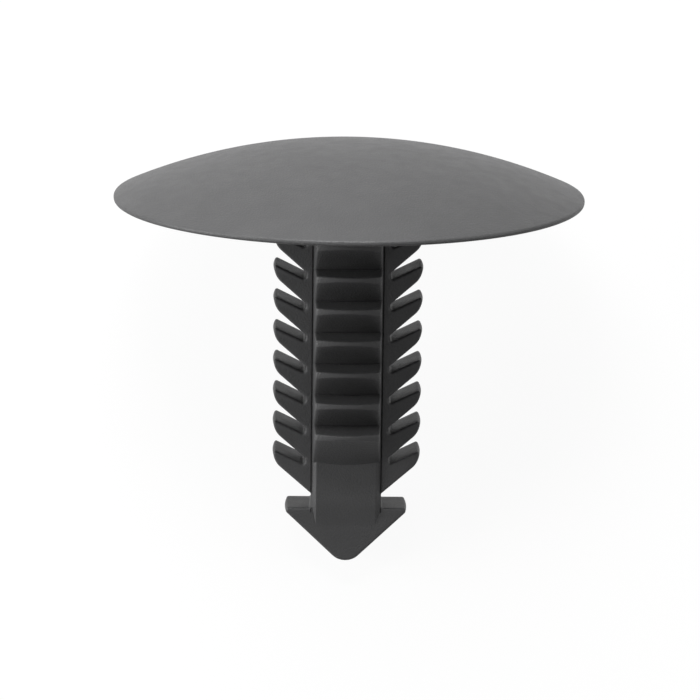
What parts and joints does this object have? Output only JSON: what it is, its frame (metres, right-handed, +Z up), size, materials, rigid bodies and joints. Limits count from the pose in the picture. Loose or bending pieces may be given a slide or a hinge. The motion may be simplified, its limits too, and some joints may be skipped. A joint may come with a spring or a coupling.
{
  "type": "spacer retainer",
  "caption": "Push-in spacer retainer with a shallow hollow dome for a head and a finned, barbed shank that grips a round panel hole.",
  "frame": {"origin": "middle of the bounding box in plan, on the ground that the part lies on", "axes": "+X across the side fins, +Y along the ground from the shank's point towards the head, +Z up"},
  "size_m": [0.03, 0.0292, 0.0262],
  "materials": {
    "nylon": "moulded satin"
  },
  "bodies": {
    "root": {"retainer": "nylon"}
  },
  "joints": []
}
